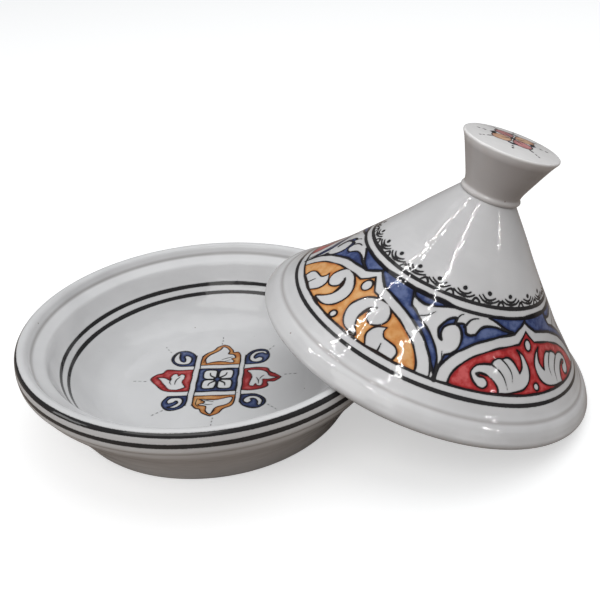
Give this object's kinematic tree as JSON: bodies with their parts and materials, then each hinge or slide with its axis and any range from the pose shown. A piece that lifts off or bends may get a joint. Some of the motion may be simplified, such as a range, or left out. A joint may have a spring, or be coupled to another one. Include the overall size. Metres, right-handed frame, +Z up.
{
  "type": "tagine pot",
  "caption": "Round glazed earthenware cooking dish with a tall conical lid, shown leaning against the dish's rim; painted bands and medallions.",
  "frame": {"origin": "on the table, under the middle of the whole object's bounding box, with the lid leaning on the dish", "axes": "+Z up from the table; +X from the dish towards the side the lid leans over to; +Y completes the right-handed frame"},
  "size_m": [0.4129, 0.2724, 0.196],
  "materials": {
    "dish_glaze": "gloss tin glaze, off white, painted under the glaze",
    "lid_glaze": "gloss tin glaze, off white, painted under the glaze",
    "knob_glaze": "gloss tin glaze, off white, painted under the glaze"
  },
  "bodies": {
    "dish": {"dish": "dish_glaze"},
    "lid": {"lid_cone": "lid_glaze", "lid_knob": "knob_glaze"}
  },
  "joints": [
    {"name": "lid_lift", "type": "slide", "parent": "dish", "child": "lid", "axis": [0, 0, 1], "range_m": [0, 0.15]}
  ]
}
